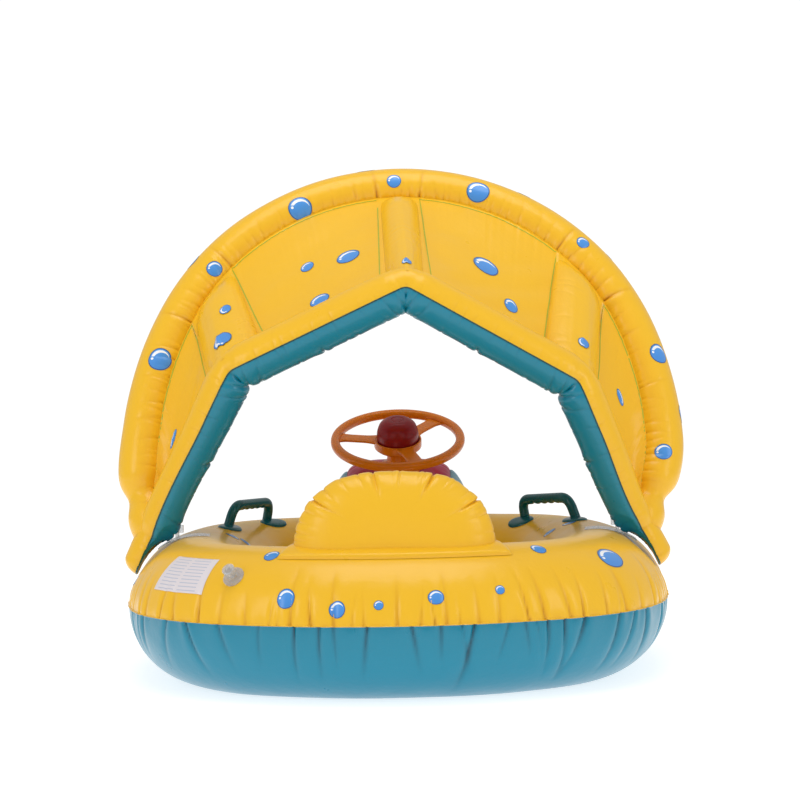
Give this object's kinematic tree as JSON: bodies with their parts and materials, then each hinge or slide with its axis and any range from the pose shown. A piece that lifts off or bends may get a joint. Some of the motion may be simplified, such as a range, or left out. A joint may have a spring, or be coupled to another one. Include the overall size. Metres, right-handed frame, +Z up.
{
  "type": "inflatable child swim boat",
  "caption": "Inflatable child's swim boat: oval ring hull with leg-hole seat, backrest, grab handles, steering wheel with horn, and a tilting inflatable sun canopy.",
  "frame": {"origin": "on the floor below the middle of the hull", "axes": "+X to the boat's right, +Y forward towards the bow and the steering wheel, +Z up"},
  "size_m": [0.7452, 0.8018, 0.6667],
  "materials": {
    "yellow_pvc": "glossy soft PVC sheet",
    "teal_pvc": "glossy soft PVC sheet",
    "seat_pvc": "satin soft PVC sheet",
    "console_teal_pvc": "glossy soft PVC sheet",
    "console_pink_pvc": "glossy soft PVC sheet",
    "orange_plastic": "glossy moulded plastic",
    "red_rubber": "smooth soft rubber",
    "white_plastic": "plain moulded plastic",
    "steel": "plated",
    "handle_plastic": "semi-gloss moulded vinyl",
    "clear_pvc": "clear moulded PVC",
    "label_film": null
  },
  "bodies": {
    "boat": {"hull_top_skin": "yellow_pvc", "backrest_cushion": "yellow_pvc", "backrest_base_patch": "yellow_pvc", "hull_bottom_skin": "teal_pvc", "seat_sling": "seat_pvc", "leg_hole_hems": "seat_pvc", "console_base_patch": "console_teal_pvc", "console_side_gussets": "console_teal_pvc", "console_centre_panel": "console_pink_pvc", "column_collar": "orange_plastic", "column_spindle": "orange_plastic", "spindle_washer": "steel", "spindle_screw": "steel", "left_handle_grip": "handle_plastic", "right_handle_grip": "handle_plastic", "left_handle_pads": "handle_plastic", "right_handle_pads": "handle_plastic", "left_fastener_patch": "clear_pvc", "right_fastener_patch": "clear_pvc", "left_fastener_lug": "clear_pvc", "right_fastener_lug": "clear_pvc", "hull_valve_stem": "clear_pvc", "backrest_valve_stem": "clear_pvc", "console_valve_stem": "clear_pvc", "label_patch": "label_film"},
    "wheel": {"steering_wheel": "orange_plastic", "horn_squeaker": "white_plastic"},
    "horn": {"horn_button": "red_rubber"},
    "canopy": {"rear_rim_top_skin": "yellow_pvc", "front_arch_top_skin": "yellow_pvc", "left_rib_top_skin": "yellow_pvc", "centre_rib_top_skin": "yellow_pvc", "right_rib_top_skin": "yellow_pvc", "left_inner_panel": "yellow_pvc", "right_inner_panel": "yellow_pvc", "left_outer_panel": "yellow_pvc", "right_outer_panel": "yellow_pvc", "rear_rim_under_skin": "teal_pvc", "front_arch_under_skin": "teal_pvc", "left_rib_under_skin": "teal_pvc", "centre_rib_under_skin": "teal_pvc", "right_rib_under_skin": "teal_pvc", "left_fastener_plug": "clear_pvc", "right_fastener_plug": "clear_pvc", "canopy_valve_stem": "clear_pvc"},
    "hull_plug": {"hull_valve_plug": "clear_pvc"},
    "backrest_plug": {"backrest_valve_plug": "clear_pvc"},
    "console_plug": {"console_valve_plug": "clear_pvc"},
    "canopy_plug": {"canopy_valve_plug": "clear_pvc"}
  },
  "joints": [
    {"name": "wheel_spin", "type": "hinge", "parent": "boat", "child": "wheel", "pos_m": [0, 0.2367, 0.28711], "axis": [0, -0.4067, 0.9135], "continuous": true},
    {"name": "horn_press", "type": "slide", "parent": "wheel", "child": "horn", "axis": [0, 0.4067, -0.9135], "range_m": [0, 0.005], "stiffness_N_per_m": 600, "springref_m": -0.003},
    {"name": "canopy_tilt", "type": "hinge", "parent": "boat", "child": "canopy", "pos_m": [0, -0.06, 0.183], "axis": [1, 0, 0], "range_deg": [-10, 40]},
    {"name": "hull_plug_pull", "type": "slide", "parent": "boat", "child": "hull_plug", "axis": [-0.3543, -0.6664, 0.6561], "range_m": [0, 0.009]},
    {"name": "backrest_plug_pull", "type": "slide", "parent": "boat", "child": "backrest_plug", "axis": [0, 1, 0], "range_m": [0, 0.009]},
    {"name": "console_plug_pull", "type": "slide", "parent": "boat", "child": "console_plug", "axis": [0, 1, 0], "range_m": [0, 0.009]},
    {"name": "canopy_plug_pull", "type": "slide", "parent": "canopy", "child": "canopy_plug", "axis": [0, 0.9295, -0.3689], "range_m": [0, 0.009]}
  ]
}
